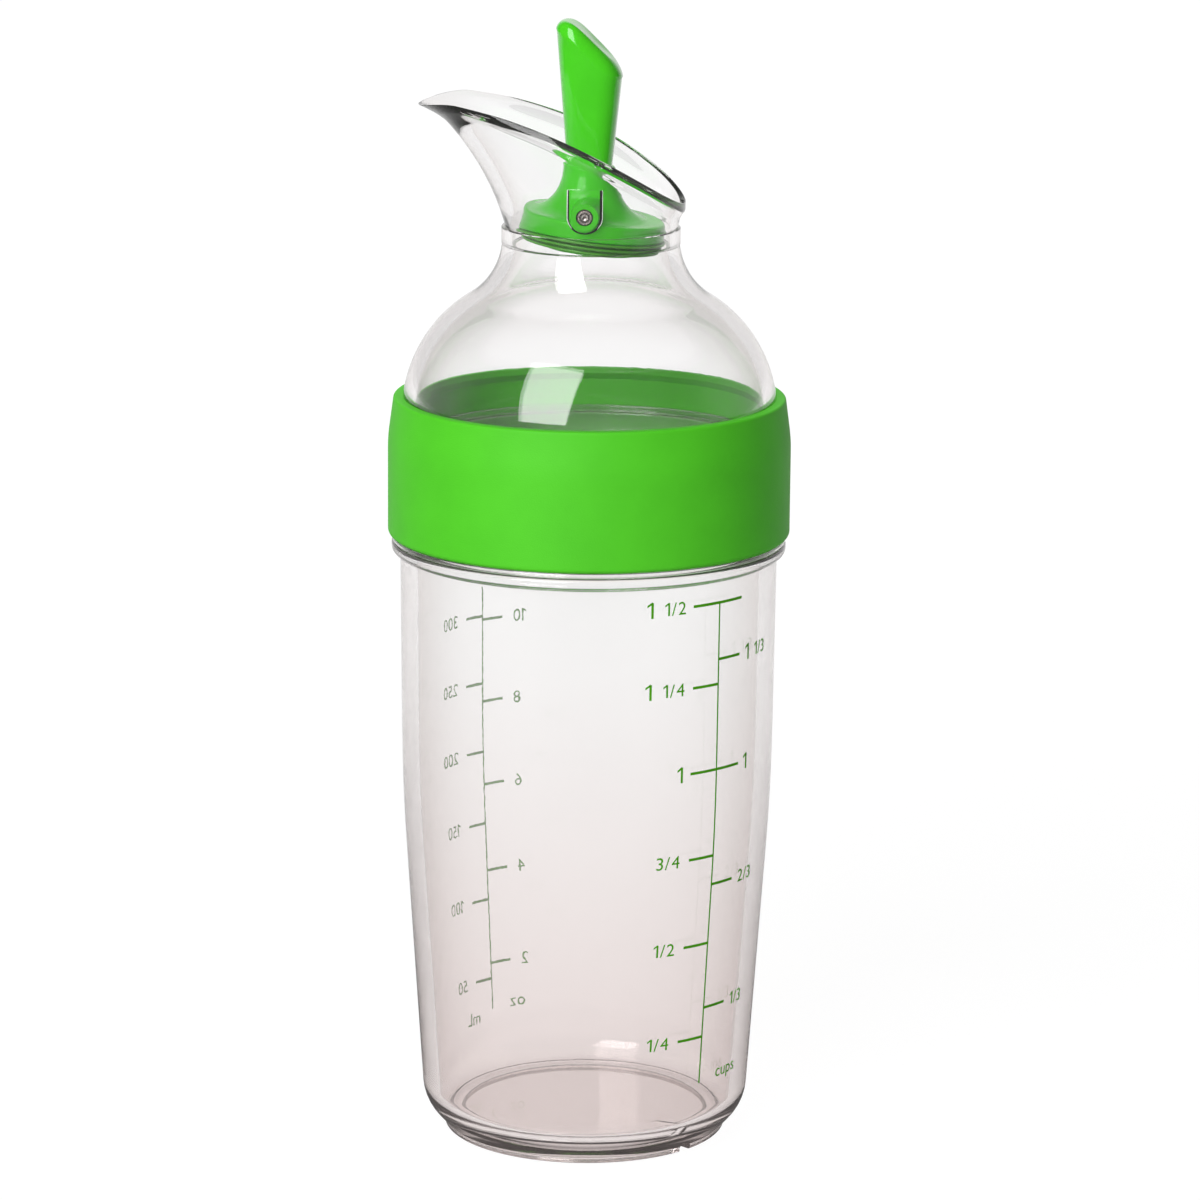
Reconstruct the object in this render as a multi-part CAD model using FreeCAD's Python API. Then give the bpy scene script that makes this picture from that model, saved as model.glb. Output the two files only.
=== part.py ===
import FreeCAD, Part
import math
import os

Vec = FreeCAD.Vector

# Lengths are millimetres. The origin is the centre of the foot ring's underside,
# +Z is up along the bottle's axis and the pouring spout points along -X.

# Cup: a clear tumbler on a foot ring, with a narrower threaded neck that the lid covers
cup_top_r = 37.0
cup_wall = 3.3
bend_taper = 0.45
heel_taper = 4.8
foot_inset = 4.2
foot_width = 3.7
foot_recess = 1.5
foot_side = 1.1
foot_edge_r = 0.45
heel_rise = 4.5
heel_round = 9.0
lower_wall_height = 64.4
upper_wall_height = 47.5
bend_round = 400.0
floor_thickness = 3.5
floor_round = 4.0
flange_step = 0.1
flange_height = 2.1
flange_edge_r = 0.5
neck_wall = 1.5
neck_height = 18.8
rim_edge_r = 0.35
notch_r = 0.8
notch_turn = -43.5

# Screw thread between the cup's neck and the lid's skirt
thread_pitch = 5.0
thread_turns = 1.25
thread_height = 1.0
thread_base = 2.2
thread_crest = 1.0
thread_root_sink = 0.25
thread_rise = 6.4
thread_gap = 0.3
thread_play = 0.35

# Gasket between the cup's rim and the lid's shoulder
gasket_gap = 0.1
gasket_thickness = 1.4
gasket_inset = 0.2
gasket_edge_r = 0.3

# Lid: a clear dome over a skirt, which ends in a thin lip that carries the grip band
skirt_gap = 0.25
skirt_wall = 1.4
lip_step = 0.7
lip_height = 1.05
dome_inset = 1.2
dome_rise = 4.7
dome_wall = 2.6
crown_r = 27.0
flare_r = 14.0
skirt_over = 0.8
dome_join_rise = 1.3
neck_r = 17.2
neck_drop = 1.51
throat_wall = 1.8
collar_height = 3.4
collar_step = 0.2
spigot_wall = 1.0
joint_gap = 0.05

# Grip band: a soft sleeve over the lid's skirt
band_thickness = 1.45
band_rise = 2.6
band_taper = 1.1
band_taper_height = 8.1
band_taper_round = 30.0
band_mouth_gap = 0.25
band_edge_r = 0.5
band_foot_edge_r = 0.9

# Pouring spout: an oval funnel whose rim lies on a large cylinder, high at the spout
spout_curve_r = 50.3
spout_curve_drop_share = 0.2823
spout_front_step = 0.55
spout_side_step = 0.1
spout_back_step = 0.3
spout_back_slope_share = 0.2
spout_wall = 2.2
spout_side_wall = 1.6
spout_spare = 2.9
spout_sections = 7
section_points = 24
rim_reach = 38.2
rim_rise = 25.6
rim_back_rise = 5.87
rim_round = 0.45

# Stopper: a plug with a tilted disc, hung on a steel pin that lies in two saddles
pin_rise = 4.0
pin_r = 1.6
pin_fit = 0.02
pin_chamfer = 0.25
pin_dimple_r = 0.5
pin_dimple_depth = 0.35
boss_wall = 1.0
boss_cover = 1.1
saddle_gap = 0.3
saddle_rise = 5.3
disc_tilt = 7.0
disc_gap = 2.2
disc_shift = 0.7
disc_drop = 1.5
disc_thickness = 3.4
disc_edge_r = 0.6
bell_r = 5.3
bell_top = 8.7
bell_ledge = 0.9
bell_edge_r = 0.6
hub_inset = 4.7
head_inset = 3.4
head_thickness = 0.9
head_edge_r = 0.4

# Silicone seal under the disc, with three lips
seal_thickness = 2.4
seal_fit = 0.05
seal_gap = 1.0
seal_lip_step = 0.5
seal_lip_depth = 1.8
seal_lip_thickness = 0.5
seal_lips = 3

# Flip lever: a tapering column with a slanted thumb face, on a tenon in the plug
lever_sink = 1.5
lever_height = 27.9
lever_front_inset = 0.6
lever_back_inset = 1.2
lever_side_inset = 0.8
lever_front_lean = 2.3
lever_back_lean = 2.8
lever_side_lean = 1.5
lever_crest = 5.4
lever_slant = 9.8
lever_front_round = 2.4
lever_shoulder_round = 4.0
lever_round = 2.2
tenon_width = 5.0
tenon_depth = 5.0
tenon_fit = 0.05

overrun = 10.0

# Sizes and places that follow from the values above, from the foot up
bend_r = cup_top_r - bend_taper
heel_r = cup_top_r - heel_taper
foot_r = heel_r - foot_inset
floor_z = foot_recess + floor_thickness
heel_z = foot_side + heel_rise
bend_z = heel_z + lower_wall_height
flange_bottom = bend_z + upper_wall_height
flange_top = flange_bottom + flange_height
rim_z = flange_top + neck_height
mouth_r = cup_top_r - cup_wall
neck_root_r = mouth_r + neck_wall
thread_crest_r = neck_root_r + thread_height
thread_start_z = flange_top + thread_rise
skirt_inner_r = thread_crest_r + thread_gap
skirt_bottom = flange_top + skirt_gap
skirt_r = skirt_inner_r + skirt_wall
lip_r = skirt_r + lip_step
lip_top = skirt_bottom + lip_height
flange_r = lip_r + flange_step
shoulder_z = rim_z + gasket_thickness + 2 * gasket_gap
dome_r = skirt_r - dome_inset
dome_z = shoulder_z + dome_rise
skirt_top = dome_z + skirt_over
dome_join_z = skirt_top + dome_join_rise
flare_x = neck_r + flare_r
crown_x = dome_r - crown_r
flare_rise = math.sqrt((crown_r + flare_r) ** 2 - (flare_x - crown_x) ** 2)
collar_bottom = dome_z + flare_rise - neck_drop
collar_top = collar_bottom + collar_height
collar_r = neck_r + collar_step
throat_r = neck_r - throat_wall
band_r = skirt_r + joint_gap + band_thickness
band_top_r = band_r - band_taper
band_top = skirt_top + band_rise
band_taper_z = band_top - band_taper_height
band_mouth_r = dome_r + band_mouth_gap
spout_curve_drop = spout_curve_r * spout_curve_drop_share
spout_curve_z = collar_top - spout_curve_drop
spout_curve_x = neck_r - spout_front_step + math.sqrt(spout_curve_r ** 2 - spout_curve_drop ** 2)
spout_side_r = neck_r - spout_side_step
spout_back_r = neck_r - spout_back_step
spout_height = rim_rise + spout_spare
rim_run = rim_reach + spout_back_r
rim_fall = rim_rise - rim_back_rise
rim_curve_r = (rim_run ** 2 + rim_fall ** 2) / (2 * rim_fall)
rim_curve_z = collar_top + rim_rise - rim_curve_r
pin_z = collar_top + pin_rise
boss_r = pin_r + boss_wall
boss_end = spout_side_r - boss_cover
saddle_top = pin_z + saddle_rise
disc_r = throat_r - disc_gap
disc_top = -disc_drop
disc_bottom = disc_top - disc_thickness
bell_round = disc_r - bell_r - bell_ledge
hub_r = disc_r - hub_inset
head_r = disc_r - head_inset
seal_lip_r = throat_r - seal_gap
seal_root_r = seal_lip_r - seal_lip_depth
lever_top = bell_top + lever_height
lever_shoulder = lever_top - lever_slant
lever_front_foot = lever_front_inset - bell_r
lever_front_top = lever_front_foot - lever_front_lean
lever_back_foot = bell_r - lever_back_inset
lever_back_top = lever_back_foot + lever_back_lean
lever_crest_x = lever_front_top + lever_crest
lever_side_foot = bell_r - lever_side_inset
lever_side_top = lever_side_foot + lever_side_lean

axis_up = Vec(0, 0, 1)
axis_across = Vec(0, 1, 0)
on_axis = Vec(0, 0, 0)


# A closed outline in the XZ plane through the corners (x, z, rounding)
def rounded_outline(corners):
    starts = []
    ends = []
    middles = []
    for index, (x, z, rounding) in enumerate(corners):
        here = Vec(x, 0, z)
        before = Vec(corners[index - 1][0], 0, corners[index - 1][1])
        following = corners[(index + 1) % len(corners)]
        after = Vec(following[0], 0, following[1])
        to_before = (before - here).normalize()
        to_after = (after - here).normalize()
        half_angle = to_before.getAngle(to_after) / 2
        setback = rounding / math.tan(half_angle)
        inwards = (to_before + to_after).normalize()
        starts.append(here + to_before * setback)
        ends.append(here + to_after * setback)
        middles.append(here + inwards * (rounding / math.sin(half_angle) - rounding))
    edges = []
    for index, (x, z, rounding) in enumerate(corners):
        if rounding > 0:
            edges.append(Part.Arc(starts[index], middles[index], ends[index]).toShape())
        following = (index + 1) % len(corners)
        if (starts[following] - ends[index]).Length > Part.Precision.confusion():
            edges.append(Part.LineSegment(ends[index], starts[following]).toShape())
    return Part.Wire(edges)


def turned(wire):
    return Part.Face(wire).revolve(on_axis, axis_up, 360)


def cylinder(radius, bottom, top):
    return Part.makeCylinder(radius, top - bottom, Vec(0, 0, bottom))


# An arc in the XZ plane about a centre, between two angles from +X
def arc_between(centre, radius, first, last):
    points = []
    for angle in (first, (first + last) / 2, last):
        points.append(Vec(centre.x + radius * math.cos(angle), 0, centre.z + radius * math.sin(angle)))
    return Part.Arc(*points).toShape()


def end_point(edge, which):
    return edge.Vertexes[which].Point


# Lines through the given points, continuing an outline
def lines_through(points):
    edges = []
    for start, end in zip(points, points[1:]):
        edges.append(Part.LineSegment(start, end).toShape())
    return edges


# One helical ridge, from its radii at the wall and at the crest
def thread_ridge(wall_r, crest_r, start_z):
    helix = Part.makeHelix(thread_pitch, thread_pitch * thread_turns, wall_r)
    corners = [
        Vec(wall_r, 0, -thread_base / 2),
        Vec(crest_r, 0, -thread_crest / 2),
        Vec(crest_r, 0, thread_crest / 2),
        Vec(wall_r, 0, thread_base / 2),
    ]
    profile = Part.makePolygon(corners + corners[:1])
    ridge = Part.Wire(helix.Edges).makePipeShell([profile], True, True)
    ridge.translate(Vec(0, 0, start_z))
    return ridge


def make_cup():
    outline = rounded_outline([
        (0, floor_z, 0),
        (0, foot_recess, 0),
        (foot_r - foot_width, foot_recess, foot_edge_r),
        (foot_r - foot_width, 0, foot_edge_r),
        (foot_r, 0, foot_edge_r),
        (foot_r, foot_side, 0),
        (heel_r, heel_z, heel_round),
        (bend_r, bend_z, bend_round),
        (cup_top_r, flange_bottom, flange_edge_r),
        (flange_r, flange_bottom, flange_edge_r),
        (flange_r, flange_top, flange_edge_r),
        (neck_root_r, flange_top, 0),
        (neck_root_r, rim_z, rim_edge_r),
        (mouth_r, rim_z, rim_edge_r),
        (bend_r - cup_wall, bend_z, bend_round),
        (heel_r - cup_wall, floor_z, floor_round),
    ])
    cup = turned(outline)
    ridge = thread_ridge(neck_root_r - thread_root_sink, thread_crest_r, thread_start_z)
    cup = cup.fuse(ridge)
    notch_length = foot_width + overrun
    notch_start = Vec(foot_r - foot_width - overrun / 2, 0, 0)
    notch = Part.makeCylinder(notch_r, notch_length, notch_start, Vec(1, 0, 0))
    notch.rotate(on_axis, axis_up, notch_turn)
    return cup.cut(notch)


# Outer or inner curve of the dome from its shoulder up to its neck, at a depth inside the wall
def dome_curve(depth, start_z, end_z):
    crown_centre = Vec(crown_x, 0, dome_z)
    flare_centre = Vec(flare_x, 0, dome_z + flare_rise)
    lean = math.atan2(flare_rise, flare_x - crown_x)
    crown_radius = crown_r - depth
    flare_radius = flare_r + depth
    start_angle = math.asin((start_z - dome_z) / crown_radius)
    end_angle = math.pi - math.asin((end_z - flare_centre.z) / flare_radius)
    crown = arc_between(crown_centre, crown_radius, start_angle, lean)
    flare = arc_between(flare_centre, flare_radius, lean + math.pi, end_angle)
    return crown, flare


def make_lid_dome():
    outer_crown, outer_flare = dome_curve(0, dome_join_z, collar_bottom)
    inner_crown, inner_flare = dome_curve(dome_wall, dome_z, collar_bottom)
    spigot_r = throat_r + spigot_wall
    spigot_top = collar_top - spigot_wall / 2
    outside = lines_through([
        Vec(skirt_inner_r, 0, skirt_bottom),
        Vec(lip_r, 0, skirt_bottom),
        Vec(lip_r, 0, lip_top),
        Vec(skirt_r, 0, lip_top),
        Vec(skirt_r, 0, skirt_top),
        end_point(outer_crown, 0),
    ])
    top = lines_through([
        end_point(outer_flare, -1),
        Vec(spigot_r, 0, collar_bottom),
        Vec(spigot_r, 0, spigot_top),
        Vec(throat_r, 0, spigot_top),
        end_point(inner_flare, -1),
    ])
    inside = lines_through([
        end_point(inner_crown, 0),
        Vec(dome_r - dome_wall, 0, shoulder_z),
        Vec(skirt_inner_r, 0, shoulder_z),
        Vec(skirt_inner_r, 0, skirt_bottom),
    ])
    edges = outside + [outer_crown, outer_flare] + top + [inner_flare, inner_crown] + inside
    dome = turned(Part.Wire(Part.__sortEdges__(edges)))
    ridge_z = thread_start_z - (thread_base + thread_crest) / 2 - thread_play
    ridge = thread_ridge(skirt_inner_r + thread_root_sink, neck_root_r + thread_gap, ridge_z)
    return dome.fuse(ridge)


def make_lid_gasket():
    inner = mouth_r + gasket_inset
    outer = skirt_inner_r - thread_gap
    bottom = rim_z + gasket_gap
    top = bottom + gasket_thickness
    return turned(rounded_outline([
        (inner, bottom, gasket_edge_r),
        (outer, bottom, gasket_edge_r),
        (outer, top, gasket_edge_r),
        (inner, top, gasket_edge_r),
    ]))


def make_grip_band():
    inner = skirt_r + joint_gap
    return turned(rounded_outline([
        (inner, lip_top + joint_gap, 0),
        (band_r, lip_top + joint_gap, band_foot_edge_r),
        (band_r, band_taper_z, band_taper_round),
        (band_top_r, band_top, band_edge_r),
        (band_mouth_r, band_top, 0),
        (inner, skirt_top + joint_gap, 0),
    ]))


# A closed oval at a height: half an ellipse to the spout and a rounder half to the back
def oval(front, side, back, z):
    points = []
    for index in range(section_points):
        angle = 2 * math.pi * index / section_points
        reach = front if math.cos(angle) > 0 else back
        points.append(Vec(-reach * math.cos(angle), side * math.sin(angle), z))
    curve = Part.BSplineCurve()
    curve.interpolate(Points=points, PeriodicFlag=True)
    return Part.Wire(curve.toShape())


# The funnel's solid at a depth inside its outer face, above the collar
def funnel(front_depth, side_depth, bottom, top):
    sections = []
    for index in range(spout_sections):
        z = bottom + (top - bottom) * index / (spout_sections - 1)
        front = spout_curve_x - math.sqrt((spout_curve_r + front_depth) ** 2 - (z - spout_curve_z) ** 2)
        back = spout_back_r - side_depth + spout_back_slope_share * (z - collar_top)
        sections.append(oval(front, spout_side_r - side_depth, back, z))
    return Part.makeLoft(sections, True, False)


def make_pour_spout():
    spigot_r = throat_r + spigot_wall
    spigot_top = collar_top - spigot_wall / 2
    top = collar_top + spout_height
    outer = funnel(0, 0, collar_top, top).fuse(cylinder(collar_r, collar_bottom, collar_top))
    inner = funnel(spout_wall, spout_side_wall, collar_top, top)
    throat = cylinder(throat_r, collar_bottom - overrun, pin_z)
    socket = cylinder(spigot_r + joint_gap, collar_bottom - overrun, spigot_top + joint_gap)
    spout = outer.cut(inner.fuse(throat)).cut(socket)
    rim_length = 2 * (spout_side_r + overrun)
    rim_start = Vec(-rim_reach, -rim_length / 2, rim_curve_z)
    rim = Part.makeCylinder(rim_curve_r, rim_length, rim_start, axis_across)
    spout = spout.common(rim)
    rim_edges = []
    for edge in spout.Edges:
        on_rim = True
        for vertex_point in edge.discretize(5):
            offset = vertex_point - rim_start
            on_rim = on_rim and abs(math.hypot(offset.x, offset.z) - rim_curve_r) < joint_gap
        if on_rim:
            rim_edges.append(edge)
    spout = spout.makeFillet(rim_round, rim_edges)
    saddle_r = boss_r + saddle_gap
    saddle_end = boss_end + saddle_gap
    saddles = Part.makeCylinder(saddle_r, 2 * saddle_end, Vec(0, -saddle_end, pin_z), axis_across)
    slot = Part.makeBox(2 * saddle_r, 2 * saddle_end, saddle_top - pin_z, Vec(-saddle_r, -saddle_end, pin_z))
    return spout.cut(saddles.fuse(slot).removeSplitter())


# Moves a shape made about the origin onto the stopper's disc, whose axis leans to the back
def on_disc(shape):
    shape.translate(Vec(disc_shift, 0, 0))
    shape.rotate(on_axis, axis_across, disc_tilt)
    shape.translate(Vec(0, 0, pin_z))
    return shape


# Drops level planes into the disc's slope and keeps upright lines upright
def disc_slope():
    slope = FreeCAD.Matrix()
    slope.A31 = -math.tan(math.radians(disc_tilt))
    return slope


# The bell under the lever: a short column that flares out onto the disc
def make_bell():
    flare_edge = bell_r + bell_round
    flare = arc_between(Vec(flare_edge, 0, disc_top + bell_round), bell_round, math.pi, math.pi * 3 / 2)
    edge_centre = Vec(bell_r - bell_edge_r, 0, bell_top - bell_edge_r)
    bell_edge = arc_between(edge_centre, bell_edge_r, math.pi / 2, 0)
    column = lines_through([end_point(bell_edge, -1), end_point(flare, 0)])
    inside = lines_through([
        end_point(flare, -1),
        Vec(flare_edge, 0, disc_bottom + disc_edge_r),
        Vec(0, 0, disc_bottom + disc_edge_r),
        Vec(0, 0, bell_top),
        end_point(bell_edge, 0),
    ])
    bell = turned(Part.Wire(Part.__sortEdges__([bell_edge] + column + [flare] + inside)))
    bell = bell.transformGeometry(disc_slope())
    bell.translate(Vec(0, 0, pin_z))
    return bell


def make_stopper_plug():
    head_top = disc_bottom - seal_thickness - 2 * seal_fit
    disc = on_disc(turned(rounded_outline([
        (0, disc_top, 0),
        (0, head_top - head_thickness, 0),
        (head_r, head_top - head_thickness, head_edge_r),
        (head_r, head_top, 0),
        (hub_r, head_top, 0),
        (hub_r, disc_bottom, 0),
        (disc_r, disc_bottom, disc_edge_r),
        (disc_r, disc_top, disc_edge_r),
    ])))
    bosses = Part.makeCylinder(boss_r, 2 * boss_end, Vec(0, -boss_end, pin_z), axis_across)
    bore_length = 2 * boss_end + overrun
    bore = Part.makeCylinder(pin_r + pin_fit, bore_length, Vec(0, -bore_length / 2, pin_z), axis_across)
    return disc.fuse(make_bell()).fuse(bosses).cut(bore).cut(tenon(tenon_fit))


def make_stopper_seal():
    inner = hub_r + seal_fit
    top = disc_bottom - seal_fit
    bottom = top - seal_thickness
    lip_pitch = (seal_thickness - seal_lip_thickness) / (seal_lips - 1)
    corners = [(inner, bottom, 0)]
    for index in reversed(range(seal_lips)):
        lip_top_z = top - index * lip_pitch
        lip_r_here = seal_lip_r - index * seal_lip_step
        if index < seal_lips - 1:
            corners.append((seal_root_r, lip_top_z - seal_lip_thickness, 0))
        corners.append((lip_r_here, lip_top_z - seal_lip_thickness, 0))
        corners.append((lip_r_here, lip_top_z, 0))
        if index > 0:
            corners.append((seal_root_r, lip_top_z, 0))
    corners.append((inner, top, 0))
    return on_disc(turned(rounded_outline(corners)))


def make_pivot_pin():
    pin = turned(rounded_outline([
        (0, -boss_end + pin_dimple_depth, 0),
        (pin_dimple_r, -boss_end, 0),
        (pin_r - pin_chamfer, -boss_end, 0),
        (pin_r, -boss_end + pin_chamfer, 0),
        (pin_r, boss_end - pin_chamfer, 0),
        (pin_r - pin_chamfer, boss_end, 0),
        (pin_dimple_r, boss_end, 0),
        (0, boss_end - pin_dimple_depth, 0),
    ]))
    pin.rotate(on_axis, Vec(1, 0, 0), 90)
    pin.translate(Vec(0, 0, pin_z))
    return pin


# The square tenon that holds the lever in the plug
def tenon(fit):
    width = tenon_width + 2 * fit
    bottom = bell_top - tenon_depth - fit
    height = bell_top + lever_sink - bottom
    return Part.makeBox(width, width, height, Vec(-width / 2, -width / 2, pin_z + bottom))


def make_flip_lever():
    side = rounded_outline([
        (lever_front_foot, bell_top - lever_sink, 0),
        (lever_front_top, lever_top, lever_front_round),
        (lever_crest_x, lever_top, lever_front_round),
        (lever_back_top, lever_shoulder, lever_shoulder_round),
        (lever_back_foot, bell_top - lever_sink, 0),
    ])
    column = Part.Face(side).extrude(Vec(0, 2 * lever_side_top, 0))
    column.translate(Vec(0, -lever_side_top, 0))
    front = rounded_outline([
        (-lever_side_foot, bell_top - lever_sink, 0),
        (lever_side_foot, bell_top - lever_sink, 0),
        (lever_side_top, lever_top, 0),
        (-lever_side_top, lever_top, 0),
    ])
    depth = lever_back_top - lever_front_top
    slab = Part.Face(front).extrude(Vec(0, 2 * depth, 0))
    slab.translate(Vec(0, -depth, 0))
    slab.rotate(on_axis, axis_up, 90)
    column = column.common(slab)
    side_edges = []
    for edge in column.Edges:
        first = end_point(edge, 0)
        last = end_point(edge, -1)
        if first.y * last.y > 0 and max(first.z, last.z) > bell_top:
            side_edges.append(edge)
    column = column.makeFillet(lever_round, side_edges)
    column.translate(Vec(0, 0, pin_z))
    return column.cut(make_bell()).fuse(tenon(0))


pieces = {
    "cup": make_cup,
    "lid_dome": make_lid_dome,
    "pour_spout": make_pour_spout,
    "grip_band": make_grip_band,
    "lid_gasket": make_lid_gasket,
    "stopper_plug": make_stopper_plug,
    "stopper_seal": make_stopper_seal,
    "pivot_pin": make_pivot_pin,
    "flip_lever": make_flip_lever,
}

os.makedirs("parts", exist_ok=True)
for name, make in pieces.items():
    shape = make()
    shape.exportStep("parts/" + name + ".step")
    print(name, "solids", len(shape.Solids), "volume", round(shape.Volume, 1), "valid", shape.isValid())
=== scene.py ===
import math
import bpy
from mathutils import Matrix, Vector


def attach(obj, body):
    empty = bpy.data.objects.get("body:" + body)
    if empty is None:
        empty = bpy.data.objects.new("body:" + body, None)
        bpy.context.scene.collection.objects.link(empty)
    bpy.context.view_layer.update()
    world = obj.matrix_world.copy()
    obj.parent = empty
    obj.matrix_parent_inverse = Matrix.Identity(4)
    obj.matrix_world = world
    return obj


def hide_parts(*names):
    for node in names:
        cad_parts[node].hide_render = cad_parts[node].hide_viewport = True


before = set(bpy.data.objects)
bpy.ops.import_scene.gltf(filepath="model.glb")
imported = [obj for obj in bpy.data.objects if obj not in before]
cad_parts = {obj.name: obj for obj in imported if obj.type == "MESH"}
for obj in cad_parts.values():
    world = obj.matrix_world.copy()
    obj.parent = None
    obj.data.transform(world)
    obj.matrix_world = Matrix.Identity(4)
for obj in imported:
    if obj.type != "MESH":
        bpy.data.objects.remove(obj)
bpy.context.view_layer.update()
bpy.context.scene.view_settings.view_transform = "Standard"
mm = 0.001
mergeGap = 0.002 * mm  # points nearer than this become one
fineGap = 0.001 * mm  # the same on thin walls
settleTurns = 40  # rounds to settle a height on a slanted edge
print("frame loaded, nodes:", len(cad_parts))


# modelling helpers, sizes in millimetres

def pickNone():
    bpy.ops.object.select_all(action="DESELECT")


def pick(piece):
    pickNone()
    piece.select_set(True)
    bpy.context.view_layer.objects.active = piece


def editAll(piece):
    pick(piece)
    bpy.ops.object.mode_set(mode="EDIT")
    bpy.ops.mesh.select_all(action="SELECT")


def backToObject():
    bpy.ops.object.mode_set(mode="OBJECT")


# puts an object's place and turn into its mesh
def fixPlace(piece):
    pick(piece)
    bpy.ops.object.transform_apply(location=True, rotation=True, scale=True)
    return piece


# merges doubles and turns the faces outwards
def closeMesh(piece, gap):
    editAll(piece)
    bpy.ops.mesh.remove_doubles(threshold=gap)
    bpy.ops.mesh.normals_make_consistent(inside=False)
    backToObject()


# names the object that was just added
def nameNewest(name):
    bpy.context.object.name = name
    return bpy.context.object


# a small square to start a piece from
def startSquare(name):
    pickNone()
    bpy.ops.mesh.primitive_plane_add(size=mm)
    return nameNewest(name)


# a wide ring, to be drawn up ring by ring into a plain tube
def startRing(name, sides):
    pickNone()
    bpy.ops.mesh.primitive_circle_add(vertices=sides, radius=20 * mm)
    return nameNewest(name)


# each point of a drawn-up tube takes its place on the outline at its angle
def shapeTube(tube, sides, facing, makeOutline, lift):
    count = len(makeOutline(0))
    outlines = {}
    for vertex in tube.data.vertices:
        turn = round(math.atan2(vertex.co.y, facing * vertex.co.x) / (2 * math.pi) * sides) % sides
        if turn not in outlines:
            outlines[turn] = makeOutline(2 * math.pi * turn / sides)
        vertex.co = (outlines[turn][round(vertex.co.z / mm) % count] + Vector((0, 0, lift))) * mm


def arcPoints(centre, radius, first, last, steps):
    points = []
    for step in range(steps + 1):
        angle = first + (last - first) * step / steps
        points.append((centre[0] + radius * math.cos(angle), centre[1] + radius * math.sin(angle)))
    return points


smooth = {"guard": 0.4, "leastSteps": 5, "stepAngle": 0.14}


# outline through corners (radius, height, rounding), given as sizes or by their names in the piece's
# dictionary, with a guard point near each end of a long straight
def roundedOutline(sizes, rows):
    corners = [[sizes.get(size, size) for size in row] for row in rows]
    guard = smooth["guard"]
    points = []
    for index, (radius, height, rounding) in enumerate(corners):
        here = Vector((radius, height))
        bend = [(radius, height)]
        if rounding > 0:
            toBefore = (Vector(corners[index - 1][:2]) - here).normalized()
            toAfter = (Vector(corners[(index + 1) % len(corners)][:2]) - here).normalized()
            half = toBefore.angle(toAfter) / 2
            centre = here + (toBefore + toAfter).normalized() * (rounding / math.sin(half))
            start = here + toBefore * (rounding / math.tan(half)) - centre
            end = here + toAfter * (rounding / math.tan(half)) - centre
            first = math.atan2(start.y, start.x)
            sweep = (math.atan2(end.y, end.x) - first + math.pi) % (2 * math.pi) - math.pi
            steps = max(smooth["leastSteps"], int(abs(sweep) / smooth["stepAngle"]))
            bend = arcPoints(centre, rounding, first, first + sweep, steps)
        if points:
            run = Vector(bend[0]) - Vector(points[-1])
            if run.length > 4 * guard:
                points.append(tuple(Vector(points[-1]) + run.normalized() * guard))
                points.append(tuple(Vector(bend[0]) - run.normalized() * guard))
        points.extend(bend)
    return points


# a vertex is drawn along the outline, then spun round the bottle's axis
def spinOutline(name, outline, segments, closed=True):
    piece = startSquare(name)
    editAll(piece)
    bpy.ops.mesh.merge(type="CENTER")
    bpy.ops.transform.translate(value=(outline[0][0] * mm, 0, outline[0][1] * mm))
    path = list(outline[1:]) + ([outline[0]] if closed else [])
    last = outline[0]
    for point in path:
        step = ((point[0] - last[0]) * mm, 0, (point[1] - last[1]) * mm)
        bpy.ops.mesh.extrude_vertices_move(TRANSFORM_OT_translate={"value": step})
        last = point
    bpy.ops.mesh.select_all(action="SELECT")
    bpy.ops.mesh.spin(steps=segments, angle=2 * math.pi, center=(0, 0, 0), axis=(0, 0, 1))
    backToObject()
    closeMesh(piece, mergeGap)
    return piece


def applyTool(piece, tool, operation):
    pick(piece)
    change = piece.modifiers.new(operation, "BOOLEAN")
    change.operation = operation
    change.object = tool
    change.solver = "EXACT"
    bpy.ops.object.modifier_apply(modifier=change.name)
    bpy.data.objects.remove(tool, do_unlink=True)


def rodAcross(name, radius, length, height, sides):
    pickNone()
    bpy.ops.mesh.primitive_cylinder_add(vertices=sides, radius=radius * mm, depth=length * mm,
                                        location=(0, 0, height * mm), rotation=(math.pi / 2, 0, 0))
    return fixPlace(nameNewest(name))


# smooths, dresses and hangs a finished piece in place of its node
def placePiece(piece, node, body, material, angle=32):
    pick(piece)
    bpy.ops.object.shade_smooth_by_angle(angle=math.radians(angle))
    piece.data.materials.clear()
    piece.data.materials.append(material)
    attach(piece, body)
    if node:
        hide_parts(node)
    print("placed", piece.name, "faces", len(piece.data.polygons))


# materials

# sets a node's sockets in turn, each to a plain number or to what another node gives
def feed(links, node, *values):
    for socket, value in zip(node.inputs, values):
        if isinstance(value, float):
            socket.default_value = value
        else:
            links.new(value, socket)


def addMath(nodes, links, operation, *values):
    node = nodes.new("ShaderNodeMath")
    node.operation = operation
    feed(links, node, *values)
    return node.outputs["Value"]


def rampValue(nodes, links, source, low, high, start=0.0, end=1.0):
    ramp = nodes.new("ShaderNodeMapRange")
    feed(links, ramp, source, start, end, low, high)
    return ramp.outputs["Result"]


def splitPlace(nodes, links, place):
    split = nodes.new("ShaderNodeSeparateXYZ")
    links.new(place, split.inputs["Vector"])
    return split.outputs


def addLength(nodes, links, vector):
    away = nodes.new("ShaderNodeVectorMath")
    away.operation = "LENGTH"
    links.new(vector, away.inputs[0])
    return away.outputs["Value"]


def mixShaders(nodes, links, *sources):
    mix = nodes.new("ShaderNodeMixShader")
    feed(links, mix, *sources)
    return mix.outputs["Shader"]


marksLook = {
    "broadDetail": 4.0, "fineDetail": 2.0, "smudge": (0.35, 0.65), "broadShare": 0.25, "depth": 0.0001,
}


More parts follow.
